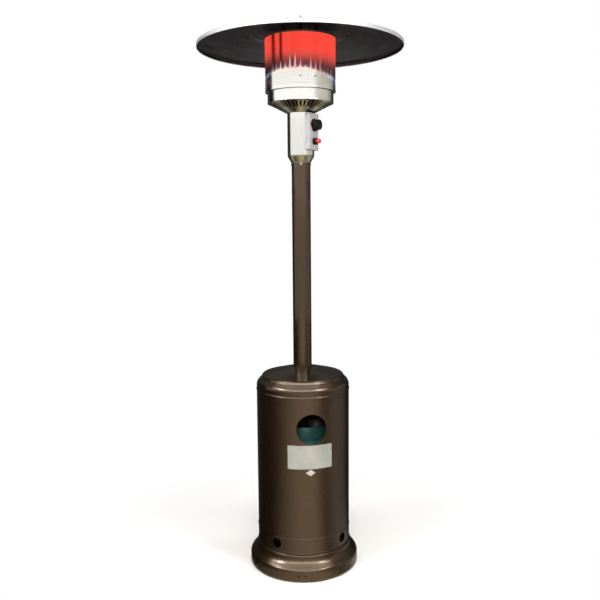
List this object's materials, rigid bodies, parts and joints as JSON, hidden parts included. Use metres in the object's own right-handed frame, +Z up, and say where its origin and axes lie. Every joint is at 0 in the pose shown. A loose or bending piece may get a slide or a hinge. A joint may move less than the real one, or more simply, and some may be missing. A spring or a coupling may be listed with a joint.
{
  "type": "gas umbrella patio heater",
  "caption": "Free-standing gas patio heater: a round reflector over a glowing emitter on a post, with a knob, an igniter button and a cover that slides up over its gas bottle.",
  "frame": {"origin": "on the floor, on the vertical axis of the post, under the centre of the base", "axes": "+Z up along the post; -Y towards the front, where the hand hole of the cover looks; +X to the right as seen from the front"},
  "size_m": [0.813, 0.813, 2.2111],
  "materials": {
    "bronze_paint": "hammered bronze stove enamel, glossy",
    "dark_paint": "dark bronze powder coat, satin",
    "black_paint": "black primer, matt",
    "concrete": "cast concrete, rough",
    "zinc_steel": "zinc plated, satin",
    "plain_steel": "plain steel, satin",
    "stainless": "bright rolled stainless steel",
    "emitter_steel": "perforated stainless steel, heat tinted, red hot in its upper part",
    "aluminium": "spun aluminium, bright outside and smoked inside",
    "panel_print": "grey speckled panel, bare",
    "brass": "machined brass",
    "bottle_paint": "dark teal green enamel, glossy",
    "black_plastic": "moulded black phenolic",
    "red_plastic": "moulded red plastic, glossy",
    "regulator_paint": "grey die cast zinc, painted",
    "hose_rubber": "black gas hose rubber",
    "lead_sleeve": "silicone sleeve",
    "copper_lead": "bare copper tube",
    "ceramic": "white ceramic",
    "plate_film": "bare silvery film plate",
    "white_film": "bare white film"
  },
  "bodies": {
    "stand": {"base_pan": "bronze_paint", "base_bottom_plate": "black_paint", "ballast_disc": "concrete", "leg_right": "dark_paint", "leg_left": "dark_paint", "leg_rear": "dark_paint", "leg_bolts": "zinc_steel", "leg_nuts": "zinc_steel", "post": "bronze_paint", "gas_bottle": "bottle_paint", "bottle_foot_ring": "bottle_paint", "bottle_guard": "bottle_paint", "bottle_valve": "brass", "regulator": "regulator_paint", "regulator_nut": "brass", "hose_fittings": "brass", "gas_hose": "hose_rubber", "head_socket": "plain_steel", "head_screws": "zinc_steel", "control_taper": "stainless", "control_housing": "stainless", "head_plate": "plain_steel", "control_panel": "panel_print", "panel_screws": "zinc_steel", "gas_valve": "brass", "valve_bush": "brass", "knob_bezel": "black_plastic", "igniter_body": "black_plastic", "igniter_collar": "black_plastic", "ignition_lead": "lead_sleeve", "tilt_switch": "black_plastic", "thermocouple_lead": "copper_lead", "pilot_tube": "plain_steel", "pilot_burner": "plain_steel", "spark_electrode": "ceramic", "gas_tube": "plain_steel", "injector": "brass", "burner_tube": "stainless", "burner_cup": "stainless", "burner_plate": "plain_steel", "slotted_bowl": "stainless", "pot_band": "stainless", "emitter_ring": "stainless", "emitter_screen": "emitter_steel", "emitter_screws": "zinc_steel", "top_plate": "stainless", "reflector_studs": "zinc_steel", "reflector_spacers": "zinc_steel", "reflector": "aluminium", "wing_nuts": "zinc_steel"},
    "tank_cover": {"housing_barrel": "bronze_paint", "housing_cap": "bronze_paint", "bare_plate": "plate_film", "diamond_plate": "white_film"},
    "handwheel": {"bottle_handwheel": "black_plastic"},
    "plug": {"valve_plug": "plain_steel"},
    "knob": {"control_knob": "black_plastic", "valve_spindle": "plain_steel"},
    "button": {"igniter_button": "red_plastic"}
  },
  "joints": [
    {"name": "cover_lift", "type": "slide", "parent": "stand", "child": "tank_cover", "axis": [0, 0, 1], "range_m": [0, 0.6]},
    {"name": "handwheel_turn", "type": "hinge", "parent": "stand", "child": "handwheel", "pos_m": [0, 0, 0.657], "axis": [0, 0, 1], "range_deg": [0, 540]},
    {"name": "knob_turn", "type": "hinge", "parent": "stand", "child": "plug", "pos_m": [0, 0, 1.80618], "axis": [0.848, -0.5299, 0], "range_deg": [0, 180]},
    {"name": "knob_push", "type": "slide", "parent": "plug", "child": "knob", "axis": [-0.848, 0.5299, 0], "range_m": [0, 0.004], "stiffness_N_per_m": 1500},
    {"name": "igniter_push", "type": "slide", "parent": "stand", "child": "button", "axis": [-0.848, 0.5299, 0], "range_m": [0, 0.007], "stiffness_N_per_m": 1200}
  ]
}
